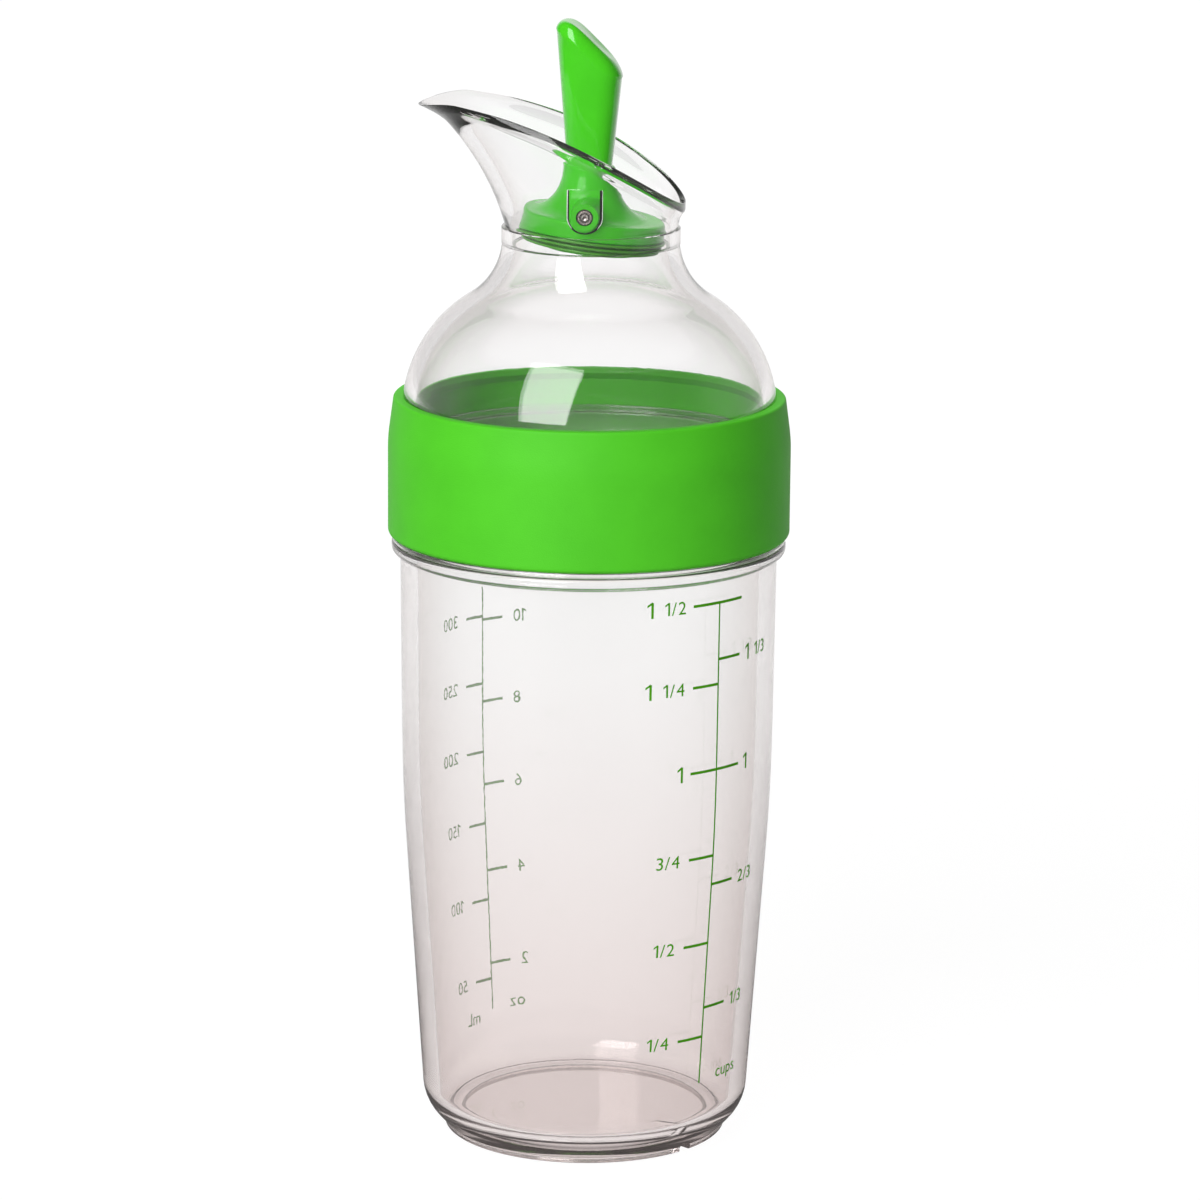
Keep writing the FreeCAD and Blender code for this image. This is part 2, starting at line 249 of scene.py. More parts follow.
# soft marks over a surface: a broad smudge mask, a fine speckle mask and a height for bump
def makeSurfaceMarks():
    group = bpy.data.node_groups.new("surfaceMarks", "ShaderNodeTree")
    for name in ("broadScale", "fineScale", "stretch"):
        group.interface.new_socket(name, in_out="INPUT", socket_type="NodeSocketFloat")
    for name in ("smudge", "speckle", "height"):
        group.interface.new_socket(name, in_out="OUTPUT", socket_type="NodeSocketFloat")
    nodes, links = group.nodes, group.links
    inputs = nodes.new("NodeGroupInput")
    outputs = nodes.new("NodeGroupOutput")
    place = nodes.new("ShaderNodeTexCoord")
    squeeze = nodes.new("ShaderNodeCombineXYZ")
    feed(links, squeeze, 1.0, 1.0, inputs.outputs["stretch"])
    drawn = nodes.new("ShaderNodeVectorMath")
    drawn.operation = "MULTIPLY"
    feed(links, drawn, place.outputs["Object"], squeeze.outputs["Vector"])

    def addNoise(vector, scale, detail):
        noise = nodes.new("ShaderNodeTexNoise")
        noise.inputs["Detail"].default_value = detail
        links.new(vector, noise.inputs["Vector"])
        links.new(inputs.outputs[scale], noise.inputs["Scale"])
        return noise.outputs["Fac"]

    broad = addNoise(drawn.outputs["Vector"], "broadScale", marksLook["broadDetail"])
    fine = addNoise(place.outputs["Object"], "fineScale", marksLook["fineDetail"])
    height = addMath(nodes, links, "MULTIPLY_ADD", broad, marksLook["broadShare"], fine)
    links.new(rampValue(nodes, links, broad, 0.0, 1.0, *marksLook["smudge"]), outputs.inputs["smudge"])
    links.new(fine, outputs.inputs["speckle"])
    links.new(height, outputs.inputs["height"])
    return group


surfaceMarks = makeSurfaceMarks()


def startMaterial(name):
    material = bpy.data.materials.new(name)
    material.use_nodes = True
    nodes = material.node_tree.nodes
    return material, nodes, material.node_tree.links, nodes["Principled BSDF"]


def addMarks(nodes, broad, fine, stretch=1.0):
    marks = nodes.new("ShaderNodeGroup")
    marks.node_tree = surfaceMarks
    for socket, value in zip(marks.inputs, (broad, fine, stretch)):
        socket.default_value = value
    return marks


# mixes two colours, of which the first may come from another mix
def mixColours(nodes, links, factor, first, second):
    mix = nodes.new("ShaderNodeMix")
    mix.data_type = "RGBA"
    if isinstance(first, tuple):
        mix.inputs["A"].default_value = (*first, 1)
    else:
        links.new(first, mix.inputs["A"])
    mix.inputs["B"].default_value = (*second, 1)
    links.new(factor, mix.inputs["Factor"])
    return mix.outputs["Result"]


def addBump(nodes, links, height, strength, distance, target):
    bump = nodes.new("ShaderNodeBump")
    bump.inputs["Strength"].default_value = strength
    bump.inputs["Distance"].default_value = distance
    links.new(height, bump.inputs["Height"])
    links.new(bump.outputs["Normal"], target.inputs["Normal"])


# colour, roughness and bump of an even surface, from its marks
def dressWithMarks(nodes, links, shader, look):
    marks = addMarks(nodes, look["broad"], look["fine"])
    colour = mixColours(nodes, links, marks.outputs["smudge"], look["light"], look["deep"])
    links.new(colour, shader.inputs["Base Color"])
    links.new(rampValue(nodes, links, marks.outputs["speckle"], *look["rough"]), shader.inputs["Roughness"])
    addBump(nodes, links, marks.outputs["height"], look["bump"], marksLook["depth"], shader)


# edge is the colour of the painted shade on a clear wall where it is seen edge-on
lidLook = {
    "high": (1.0, 1.0, 1.0), "low": (1.0, 0.995, 0.995), "lowZ": 120.0, "highZ": 180.0,
    "edge": (0.62, 0.53, 0.5), "ior": 1.5, "absorb": (0.9, 0.85, 0.85), "density": 20.0, "broad": 40.0,
    "shade": (0.87, 0.86, 0.86), "passing": 0.99,
}
cupLook = {
    "high": (1.0, 1.0, 0.998), "low": (0.91, 0.85, 0.84), "lowZ": 0.0, "highZ": 100.0,
    "edge": (0.5, 0.4, 0.37), "ior": 1.5, "absorb": (0.9, 0.83, 0.82), "density": 16.0, "broad": 25.0,
    "shade": (0.93, 0.92, 0.92), "passing": 0.95,
}
clearMarks = {
    "fine": 900.0, "stretch": 0.4, "edgeShadePower": 2.4, "rough": (0.008, 0.03), "bump": 0.01, "depth": 0.0002,
}


# clear moulded plastic: its tint deepens with thickness and towards its foot, with faint handling marks and
# painted shade where its walls are seen edge-on;
# the light that falls through it goes straight on
def makeClear(name, look):
    material, nodes, links, shader = startMaterial(name)
    marks = addMarks(nodes, look["broad"], clearMarks["fine"], clearMarks["stretch"])
    split = splitPlace(nodes, links, nodes.new("ShaderNodeTexCoord").outputs["Object"])
    rise = rampValue(nodes, links, split["Z"], 0.0, 1.0, look["lowZ"] * mm, look["highZ"] * mm)
    body = mixColours(nodes, links, rise, look["low"], look["high"])
    # painted shade: the edge colour is mixed in where the surface turns edge-on, darkening the sides and rims
    # of the clear walls
    facing = nodes.new("ShaderNodeLayerWeight")
    facing.inputs["Blend"].default_value = 0.5
    edgeShadeMask = addMath(nodes, links, "POWER", facing.outputs["Facing"], clearMarks["edgeShadePower"])
    links.new(mixColours(nodes, links, edgeShadeMask, body, look["edge"]), shader.inputs["Base Color"])
    roughness = rampValue(nodes, links, marks.outputs["smudge"], *clearMarks["rough"])
    links.new(roughness, shader.inputs["Roughness"])
    addBump(nodes, links, marks.outputs["height"], clearMarks["bump"], clearMarks["depth"], shader)
    shader.inputs["IOR"].default_value = look["ior"]
    shader.inputs["Transmission Weight"].default_value = look["passing"]
    absorb = nodes.new("ShaderNodeVolumeAbsorption")
    absorb.inputs["Color"].default_value = (*look["absorb"], 1)
    absorb.inputs["Density"].default_value = look["density"]
    passes = nodes.new("ShaderNodeBsdfTransparent")
    passes.inputs["Color"].default_value = (*look["shade"], 1)
    path = nodes.new("ShaderNodeLightPath")
    straight = addMath(nodes, links, "MAXIMUM", path.outputs["Is Shadow Ray"], path.outputs["Is Diffuse Ray"])
    either = mixShaders(nodes, links, straight, shader.outputs["BSDF"], passes.outputs["BSDF"])
    output = nodes["Material Output"]
    links.new(either, output.inputs["Surface"])
    links.new(absorb.outputs["Volume"], output.inputs["Volume"])
    return material


gripLook = {
    "light": (0.082, 0.61, 0.014), "deep": (0.073, 0.56, 0.012), "rough": (0.52, 0.64),
    "broad": 60.0, "fine": 4200.0, "bump": 0.35, "sheen": 0.3, "coat": 0.0,
}
leverLook = {
    "light": (0.07, 0.65, 0.014), "deep": (0.06, 0.59, 0.012), "rough": (0.12, 0.18),
    "broad": 90.0, "fine": 1500.0, "bump": 0.03, "sheen": 0.4, "coat": 0.35,
}
plugLook = {
    "light": (0.06, 0.66, 0.008), "deep": (0.05, 0.6, 0.007), "rough": (0.16, 0.24),
    "broad": 90.0, "fine": 1500.0, "bump": 0.03, "sheen": 0.18, "coat": 0.15,
}
sealLook = {
    "light": (0.08, 0.4, 0.02), "deep": (0.07, 0.35, 0.016), "rough": (0.34, 0.46),
    "broad": 120.0, "fine": 3000.0, "bump": 0.15, "sheen": 0.4, "coat": 0.0,
}
inkLook = {
    "light": (0.085, 0.4, 0.006), "deep": (0.07, 0.34, 0.005), "rough": (0.5, 0.65),
    "broad": 300.0, "fine": 5000.0, "bump": 0.1, "sheen": 0.1, "coat": 0.0,
}
coatRough = 0.04


# green plastic or rubber with its own gloss, speckle and soft tone changes
def makeGreen(name, look):
    material, nodes, links, shader = startMaterial(name)
    dressWithMarks(nodes, links, shader, look)
    shader.inputs["Specular IOR Level"].default_value = look["sheen"]
    shader.inputs["Coat Weight"].default_value = look["coat"]
    shader.inputs["Coat Roughness"].default_value = coatRough
    return material


# ring is the steel's own colour; groove is painted shade laid between the turned rings
steelLook = {
    "height": 185.5, "ringScale": 9500.0, "ring": (0.66, 0.6, 0.58), "groove": (0.1, 0.08, 0.07),
    "rough": (0.2, 0.34), "broad": 900.0, "fine": 6000.0, "bump": 0.35, "depth": 0.00002,
}


# steel with the rings that turning leaves on its end faces: they are bumped, and painted shade darkens every
# other ring
def makeSteel(name, look):
    material, nodes, links, shader = startMaterial(name)
    marks = addMarks(nodes, look["broad"], look["fine"])
    place = nodes.new("ShaderNodeTexCoord")
    centred = nodes.new("ShaderNodeMapping")
    centred.inputs["Location"].default_value = (0, 0, -look["height"] * mm)
    centred.inputs["Scale"].default_value = (1, 0, 1)
    links.new(place.outputs["Object"], centred.inputs["Vector"])
    away = addLength(nodes, links, centred.outputs["Vector"])
    rings = addMath(nodes, links, "MULTIPLY", away, look["ringScale"])
    wave = addMath(nodes, links, "SINE", rings)
    turned = rampValue(nodes, links, wave, 0.0, 1.0, -1.0)
    # painted shade: the base colour turns dark in every other ring
    links.new(mixColours(nodes, links, turned, look["ring"], look["groove"]), shader.inputs["Base Color"])
    links.new(rampValue(nodes, links, marks.outputs["speckle"], *look["rough"]), shader.inputs["Roughness"])
    addBump(nodes, links, wave, look["bump"], look["depth"], shader)
    shader.inputs["Metallic"].default_value = 1.0
    return material


siliconeLook = {
    "light": (0.93, 0.93, 0.92), "deep": (0.88, 0.88, 0.87), "rough": (0.12, 0.2),
    "broad": 120.0, "fine": 3000.0, "bump": 0.1, "passing": 0.95, "ior": 1.41,
}


def makeSilicone(name, look):
    material, nodes, links, shader = startMaterial(name)
    dressWithMarks(nodes, links, shader, look)
    shader.inputs["Transmission Weight"].default_value = look["passing"]
    shader.inputs["IOR"].default_value = look["ior"]
    return material


clearCup = makeClear("clearCup", cupLook)
clearLid = makeClear("clearLid", lidLook)
greenGrip = makeGreen("greenGrip", gripLook)
greenGloss = makeGreen("greenGloss", leverLook)
greenPlug = makeGreen("greenPlug", plugLook)
greenSeal = makeGreen("greenSeal", sealLook)
greenInk = makeGreen("greenInk", inkLook)
ringShadedSteel = makeSteel("ringShadedSteel", steelLook)
clearSilicone = makeSilicone("clearSilicone", siliconeLook)
print("materials made")


# the cup

cup = {
    "footR": 28.0, "footWidth": 3.7, "footRecess": 1.5, "footSide": 1.1, "footRound": 0.45,
    "heelR": 32.2, "heelZ": 5.6, "heelRound": 9.0, "bendR": 36.55, "bendZ": 70.0, "bendRound": 400.0,
    "topR": 37.0, "wall": 3.3, "floorZ": 5.0, "floorRound": 4.0, "creaseRound": 0.3,
    "flangeR": 38.7, "flangeBottom": 117.5, "flangeTop": 119.6,
    "underRound": 0.7, "edgeRound": 0.95, "overRound": 0.6,
    "neckR": 35.2, "rimZ": 138.4, "rimRound": 0.35, "ridgeR": 36.2, "ridgeZ": 126.0, "segments": 160,
    "notchR": 1.5, "notchTurn": -40.0, "notchZ": 0.5,
    "notchLength": 14.0, "notchAway": 26.0, "notchSides": 24,
}
thread = {"pitch": 5.0, "turns": 1.25, "base": 2.2, "crest": 1.0, "sink": 0.25, "steps": 90}


# a four-sided section screwed up round the axis, closed at both ends
def threadRidge(name, wallR, crestR, startZ):
    ridge = startSquare(name)
    section = [(wallR, -thread["base"] / 2), (crestR, -thread["crest"] / 2),
               (wallR, thread["base"] / 2), (crestR, thread["crest"] / 2)]
    for vertex, (radius, height) in zip(ridge.data.vertices, section):
        vertex.co = (radius * mm, 0, (startZ + height) * mm)
    editAll(ridge)
    bpy.ops.mesh.delete(type="ONLY_FACE")
    backToObject()
    screw = ridge.modifiers.new("screw", "SCREW")
    screw.angle = 2 * math.pi * thread["turns"]
    screw.screw_offset = thread["pitch"] * thread["turns"] * mm
    screw.steps = thread["steps"]
    screw.render_steps = thread["steps"]
    pick(ridge)
    bpy.ops.object.modifier_apply(modifier=screw.name)
    editAll(ridge)
    bpy.ops.mesh.remove_doubles(threshold=fineGap)
    bpy.ops.mesh.select_all(action="DESELECT")
    bpy.ops.mesh.select_mode(type="EDGE")
    bpy.ops.mesh.select_non_manifold()
    bpy.ops.mesh.fill_holes(sides=4)
    bpy.ops.mesh.select_mode(type="VERT")
    bpy.ops.mesh.select_all(action="SELECT")
    bpy.ops.mesh.normals_make_consistent(inside=False)
    backToObject()
    return ridge


def buildCup():
    wall = cup["wall"]
    footInner = cup["footR"] - cup["footWidth"]
    outline = roundedOutline(cup, [
        (0, "footRecess", 0),
        (footInner, "footRecess", "footRound"),
        (footInner, 0, "footRound"),
        ("footR", 0, "footRound"),
        ("footR", "footSide", "creaseRound"),
        ("heelR", "heelZ", "heelRound"),
        ("bendR", "bendZ", "bendRound"),
        ("topR", "flangeBottom", "underRound"),
        ("flangeR", "flangeBottom", "edgeRound"),
        ("flangeR", "flangeTop", "overRound"),
        ("neckR", "flangeTop", "creaseRound"),
        ("neckR", "rimZ", "rimRound"),
        (cup["topR"] - wall, "rimZ", "rimRound"),
        (cup["bendR"] - wall, "bendZ", "bendRound"),
        (cup["heelR"] - wall, "floorZ", "floorRound"),
        (0, "floorZ", 0),
    ])
    piece = spinOutline("cupWall", outline, cup["segments"], closed=False)
    ridge = threadRidge("cupRidge", cup["neckR"] - thread["sink"], cup["ridgeR"], cup["ridgeZ"])
    applyTool(piece, ridge, "UNION")
    notch = rodAcross("notch", cup["notchR"], cup["notchLength"], cup["notchZ"], cup["notchSides"])
    editAll(notch)
    bpy.ops.transform.translate(value=(0, -cup["notchAway"] * mm, 0))
    backToObject()
    notch.rotation_euler = (0, 0, math.radians(cup["notchTurn"] + 90))
    fixPlace(notch)
    applyTool(piece, notch, "DIFFERENCE")
    placePiece(piece, "cup", "cup", clearCup)
    return piece


cupWall = buildCup()


# the lid: skirt, dome and neck in one clear shell

lid = {
    "skirtInnerR": 36.5, "skirtBottom": 119.85, "skirtR": 37.9, "lipR": 38.6, "lipTop": 120.9,
    "lipRound": 0.25, "creaseRound": 0.15, "topRound": 0.3, "shoulderZ": 140.0, "shoulderBevel": 0.3,
    "skirtTop": 145.5, "domeR": 36.7, "domeZ": 144.7, "wall": 2.6, "crownR": 27.0, "flareR": 14.0,
    "neckR": 17.2, "joinZ": 146.8, "collarBottom": 178.1, "curveSteps": 26,
    "ridgeR": 35.5, "ridgeZ": 124.05, "segments": 160,
}


# the dome's crown and the flare of its neck, a depth inside the outer face
def domeCurve(depth, startZ):
    crownX = lid["domeR"] - lid["crownR"]
    flareX = lid["neckR"] + lid["flareR"]
    rise = math.sqrt((lid["crownR"] + lid["flareR"]) ** 2 - (flareX - crownX) ** 2)
    lean = math.atan2(rise, flareX - crownX)
    crownR = lid["crownR"] - depth
    flareR = lid["flareR"] + depth
    flareZ = lid["domeZ"] + rise
    first = math.asin((startZ - lid["domeZ"]) / crownR)
    last = math.pi - math.asin((lid["collarBottom"] - flareZ) / flareR)
    crown = arcPoints((crownX, lid["domeZ"]), crownR, first, lean, lid["curveSteps"])
    flare = arcPoints((flareX, flareZ), flareR, lean + math.pi, last, lid["curveSteps"])
    return crown + flare[1:]


def buildLid():
    outer = domeCurve(0, lid["joinZ"])
    inner = domeCurve(lid["wall"], lid["domeZ"])
    outline = roundedOutline(lid, [
        ("skirtInnerR", "skirtBottom", 0),
        ("lipR", "skirtBottom", "lipRound"),
        ("lipR", "lipTop", "lipRound"),
        ("skirtR", "lipTop", "creaseRound"),
        ("skirtR", "skirtTop", "topRound"),
        (outer[0][0], outer[0][1], 0),
    ])
    outline += outer[1:]
    outline += inner[::-1]
    innerR = lid["domeR"] - lid["wall"]
    bevel = lid["shoulderBevel"]
    outline += [(innerR, lid["shoulderZ"] + bevel), (innerR + bevel, lid["shoulderZ"])]
    outline += [(lid["skirtInnerR"], lid["shoulderZ"])]
    piece = spinOutline("lidShell", outline, lid["segments"])
    ridge = threadRidge("lidRidge", lid["skirtInnerR"] + thread["sink"], lid["ridgeR"], lid["ridgeZ"])
    applyTool(piece, ridge, "UNION")
    placePiece(piece, "lid_dome", "lid", clearLid)


buildLid()


# the silicone ring under the lid's shoulder

gasket = {"inner": 33.9, "outer": 36.2, "bottom": 138.5, "top": 139.9, "round": 0.3, "segments": 144}
gasketRing = spinOutline("gasketRing", roundedOutline(gasket, [
    ("inner", "bottom", "round"),
    ("outer", "bottom", "round"),
    ("outer", "top", "round"),
    ("inner", "top", "round"),
]), gasket["segments"])
placePiece(gasketRing, "lid_gasket", "gasket", clearSilicone)


# the soft grip band

band = {
    "inner": 37.8, "bottom": 120.95, "outer": 39.4, "taperZ": 140.0, "topR": 38.3, "top": 148.1,
    "mouthR": 36.4, "shoulderR": 36.5, "shoulderZ": 146.7, "seatZ": 145.3,
    "innerRound": 0.2, "bottomRound": 0.9, "taperRound": 30.0, "topRound": 0.5, "segments": 160,
}
gripBand = spinOutline("gripBand", roundedOutline(band, [
    ("inner", "bottom", "innerRound"),
    ("outer", "bottom", "bottomRound"),
    ("outer", "taperZ", "taperRound"),
    ("topR", "top", "topRound"),
    ("mouthR", "top", 0),
    ("shoulderR", "shoulderZ", 0),
    ("inner", "seatZ", 0),
]), band["segments"])
placePiece(gripBand, "grip_band", "lid", greenGrip)


# the pouring spout: a plain tube is drawn up, then each of its rings takes its place on the funnel

spout = {
    "curveR": 50.3, "curveX": 64.905, "curveZ": 167.3, "wall": 2.2,
    "sideR": 17.1, "backR": 16.9, "backSlope": 0.2, "sideWall": 1.6, "throatR": 15.4,
    "collarBottom": 178.12, "collarTop": 181.5, "collarR": 17.4, "collarRound": 0.15,
    "rimR": 86.8, "rimX": 38.2, "rimZ": 120.3, "rimGuess": 195.0,
    "tipStart": 24.0, "tipRun": 8.0, "tipDrop": 2.3, "tipCurve": 1.5, "tipReach": 2.4,
    "lip": 1.2, "lipBend": 0.5, "lipHeight": 3.6, "lipFade": 0.5, "lipBack": 0.5,
    "pinZ": 185.5, "saddleR": 2.9, "saddleMouth": 3.35, "saddleTop": 190.8,
    "saddleEnd": 16.3, "saddleStart": 15.3, "saddleSides": 48, "gateTurn": 262.0, "gate": (1.1, 0.7, 0.75),
    "segments": 160, "collarRings": 4, "wallRings": 16, "bendSteps": 6,
}
# softened edges of the lip: pairs run outwards and up from its end, then inwards and down from its top
lipEdge = {
    "end": ((0.12, 0.12), (0.15, 0.3)), "top": ((0.3, 0.3), (0.42, 0.08)), "topIn": 0.65,
    "plainUp": (0.3, 0.6), "plainDown": (0.3, 0.1), "plainIn": 0.15, "plainFold": 0.4,
}


def funnelPoint(angle, z, inside):
    depth = spout["wall"] if inside else 0
    sideDepth = spout["sideWall"] if inside else 0
    front = spout["curveX"] - math.sqrt((spout["curveR"] + depth) ** 2 - (z - spout["curveZ"]) ** 2)
    back = spout["backR"] - sideDepth + spout["backSlope"] * (z - spout["collarTop"])
    reach = front if math.cos(angle) > 0 else back
    x = -reach * math.cos(angle)
    y = (spout["sideR"] - sideDepth) * math.sin(angle)
    if inside and z < spout["pinZ"]:
        widen = max(1, spout["throatR"] / math.hypot(x, y))
        x, y = x * widen, y * widen
    return Vector((x, y, z))


def rimHeight(angle):
    z = spout["rimGuess"]
    for turn in range(settleTurns):
        x = funnelPoint(angle, z, False).x
        dip = min(1, max(0, (-x - spout["tipStart"]) / spout["tipRun"])) ** spout["tipCurve"]
        z = spout["rimZ"] + math.sqrt(spout["rimR"] ** 2 - (x + spout["rimX"]) ** 2) - spout["tipDrop"] * dip
    return z


def softCorner(first, corner, last, share):
    return first.lerp(corner, share).lerp(corner.lerp(last, share), share)


# the lip's section, (outwards, upwards) from the wall's outer face: bend, end face, top and inner bend;
# towards the pouring tip it fades into a plain rim
def lipSection(wall, share, reach):
    height, lip, steps = spout["lipHeight"], spout["lip"], spout["bendSteps"]
    bend = Vector((0, spout["lipBend"]))
    end = Vector((lip, spout["lipBend"] + lip))
    top = Vector((lip - lipEdge["topIn"], height))
    turned = [softCorner(Vector((0, 0)), bend, end, step / steps) for step in range(steps + 1)]
    turned += [end + Vector(offset) for offset in lipEdge["end"]]
    turned += [Vector((lip - inwards, height - down)) for inwards, down in lipEdge["top"]]
    turned.append(top)
    plainTop = Vector((reach - lipEdge["plainIn"], height))
    drawn = [end.y * step / steps for step in range(steps + 1)]
    drawn += [end.y + up for up in lipEdge["plainUp"]]
    drawn += [height - down for down in lipEdge["plainDown"]]
    plain = [Vector((reach * (upwards / height) ** 2, upwards)) for upwards in drawn]
    plain.append(plainTop)
    fold = Vector((-wall, height - lipEdge["topIn"] + lip - wall))
    corner = Vector((reach / 4 - wall, height - lipEdge["plainFold"]))
    low = Vector((-wall, 0))
    for step in range(1, steps + 1):
        turned.append(softCorner(top, fold, low, step / steps))
        plain.append(softCorner(plainTop, corner, low, step / steps))
    return [first.lerp(second, share) for first, second in zip(plain, turned)]


# one upright outline of the funnel at an angle round the axis
def spoutOutline(angle):
    def ring(radius, z):
        return Vector((-radius * math.cos(angle), radius * math.sin(angle), z))
    rings = spout["wallRings"]
    soft = spout["collarRound"]
    points = [
        ring(spout["collarR"] - soft, spout["collarBottom"]),
        ring(spout["collarR"], spout["collarBottom"] + soft),
        ring(spout["collarR"], spout["collarTop"] - soft),
        ring(spout["collarR"] - soft, spout["collarTop"]),
    ]
    lipZ = rimHeight(angle) - spout["lipHeight"]
    for step in range(rings):
        z = spout["collarTop"] + (lipZ - spout["collarTop"]) * step / rings
        points.append(funnelPoint(angle, z, False))
    across = funnelPoint(angle, lipZ, False) - funnelPoint(angle, lipZ, True)
    ahead = math.cos(angle)
    share = min(1, (1 - ahead) / spout["lipFade"]) - spout["lipBack"] * max(0, -ahead) ** 3
    reach = spout["tipReach"] if ahead > 0 else 0
    for outwards, upwards in lipSection(across.length, share, reach):
        points.append(funnelPoint(angle, lipZ + upwards, False) + across.normalized() * outwards)
    for step in range(1, rings + 1):
        z = lipZ + (spout["collarBottom"] - lipZ) * step / rings
        points.append(funnelPoint(angle, z, True))
    return points


# the tool that opens the two saddles: a rod with tapered ends, its upper half drawn up to the slot's top
def saddleTool():
    end, start = spout["saddleEnd"], spout["saddleStart"]
    tool = spinOutline("saddleTool", [
        (0, -end), (spout["saddleR"], -end), (spout["saddleMouth"], -start),
        (spout["saddleMouth"], start), (spout["saddleR"], end), (0, end),
    ], spout["saddleSides"], closed=False)
    tool.rotation_euler = (math.pi / 2, 0, 0)
    fixPlace(tool)
    onAxis = 0.01 * mm
    for vertex in tool.data.vertices:
        reach = math.hypot(vertex.co.x, vertex.co.z)
        if vertex.co.z > onAxis:
            vertex.co.z = (spout["saddleTop"] - spout["pinZ"]) * mm
            vertex.co.x = math.copysign(reach, vertex.co.x) if abs(vertex.co.x) > onAxis else 0
        vertex.co.z += spout["pinZ"] * mm
    editAll(tool)
    bpy.ops.mesh.remove_doubles(threshold=mergeGap)
    bpy.ops.mesh.dissolve_degenerate(threshold=fineGap)
    bpy.ops.mesh.normals_make_consistent(inside=False)
    backToObject()
    return tool


# the small mark the mould's gate leaves on the lip's end face
def gateMark():
    outline = spoutOutline(math.radians(spout["gateTurn"]))
    row = spout["collarRings"] + spout["wallRings"] + spout["bendSteps"] + len(lipEdge["end"])
    middle = outline[row].lerp(outline[row + 1], 0.5)
    pickNone()
    bpy.ops.mesh.primitive_ico_sphere_add(subdivisions=2, radius=mm, location=middle * mm,
                                          scale=spout["gate"])
    return fixPlace(nameNewest("gateMark"))


def buildSpout():
    piece = startRing("spoutFunnel", spout["segments"])
    editAll(piece)
    for ring in range(len(spoutOutline(0))):
        bpy.ops.mesh.extrude_edges_move(TRANSFORM_OT_translate={"value": (0, 0, mm)})
    backToObject()
    shapeTube(piece, spout["segments"], -1, spoutOutline, 0)
    closeMesh(piece, fineGap)
    applyTool(piece, saddleTool(), "DIFFERENCE")
    applyTool(piece, gateMark(), "UNION")
    placePiece(piece, "pour_spout", "lid", clearLid)


buildSpout()


# the stopper: disc, bell and bosses in one moulding, with its seal, pin and lever

stopper = {
    "pinZ": 185.5, "tilt": 7.0, "shift": 0.7, "segments": 128,
    "discR": 14.1, "discTop": -1.5, "discBottom": -4.9, "discUnder": 0.5, "discOver": 0.6,
    "hubR": 8.5, "hubRound": 0.1, "headR": 9.8, "headTop": -7.4, "headBottom": -8.3,
    "headRound": 0.4, "headOver": 0.2,
    "bellR": 5.1, "bellTop": 8.2, "bellRound": 7.3, "bellFall": 8.9, "bellShift": -0.4, "bellFoot": -4.0,
    "flareSteps": 24, "capRound": 0.6, "capSteps": 6,
    "bossR": 2.6, "bossEnd": 16.0, "bossSides": 64, "boreR": 1.62, "boreSpare": 4, "boreSides": 48,
}


# leans a piece made about the origin with the stopper's disc
def leanOnDisc(piece):
    piece.matrix_world = (
        Matrix.Translation((0, 0, stopper["pinZ"] * mm))
        @ Matrix.Rotation(math.radians(stopper["tilt"]), 4, "Y")
        @ Matrix.Translation((stopper["shift"] * mm, 0, 0))
    )
    fixPlace(piece)


# the bell, sheared so that its foot lies along the leaning disc
def makeBell():
    flareEdge = stopper["bellR"] + stopper["bellRound"]
    flareZ = stopper["discTop"] + stopper["bellFall"]
    stretch = stopper["bellFall"] / stopper["bellRound"]
    flare = arcPoints((flareEdge, 0), stopper["bellRound"], math.pi * 1.5, math.pi, stopper["flareSteps"])
    flare = [(radius, flareZ + z * stretch) for radius, z in flare]
    soft = stopper["capRound"]
    centre = (stopper["bellR"] - soft, stopper["bellTop"] - soft)
    cap = arcPoints(centre, soft, 0, math.pi / 2, stopper["capSteps"])
    outline = [(0, stopper["bellFoot"]), (flareEdge, stopper["bellFoot"])]
    outline += flare + cap + [(0, stopper["bellTop"])]
    bell = spinOutline("bell", outline, stopper["segments"], closed=False)
    slope = math.tan(math.radians(stopper["tilt"]))
    for vertex in bell.data.vertices:
        vertex.co.x += stopper["bellShift"] * mm
        vertex.co.z += stopper["pinZ"] * mm - slope * vertex.co.x
    return bell


def buildPlug():
    plug = spinOutline("stopperPlug", roundedOutline(stopper, [
        (0, "headBottom", 0),
        ("headR", "headBottom", "headRound"),
        ("headR", "headTop", "headOver"),
        ("hubR", "headTop", "hubRound"),
        ("hubR", "discBottom", "hubRound"),
        ("discR", "discBottom", "discUnder"),
        ("discR", "discTop", "discOver"),
        (0, "discTop", 0),
    ]), stopper["segments"], closed=False)
    leanOnDisc(plug)
    applyTool(plug, makeBell(), "UNION")
    length, height = 2 * stopper["bossEnd"], stopper["pinZ"]
    bosses = rodAcross("bosses", stopper["bossR"], length, height, stopper["bossSides"])
    applyTool(plug, bosses, "UNION")
    bore = rodAcross("bore", stopper["boreR"], length + stopper["boreSpare"], height, stopper["boreSides"])
    applyTool(plug, bore, "DIFFERENCE")
    placePiece(plug, "stopper_plug", "stopper", greenPlug)


buildPlug()

seal = {
    "inner": 8.55, "top": -4.95, "bottom": -7.35, "rootR": 12.6, "rootRound": 0.15,
    "lips": (14.4, 13.9, 13.4), "lipThickness": 0.5, "lipRound": 0.2, "segments": 128,
}


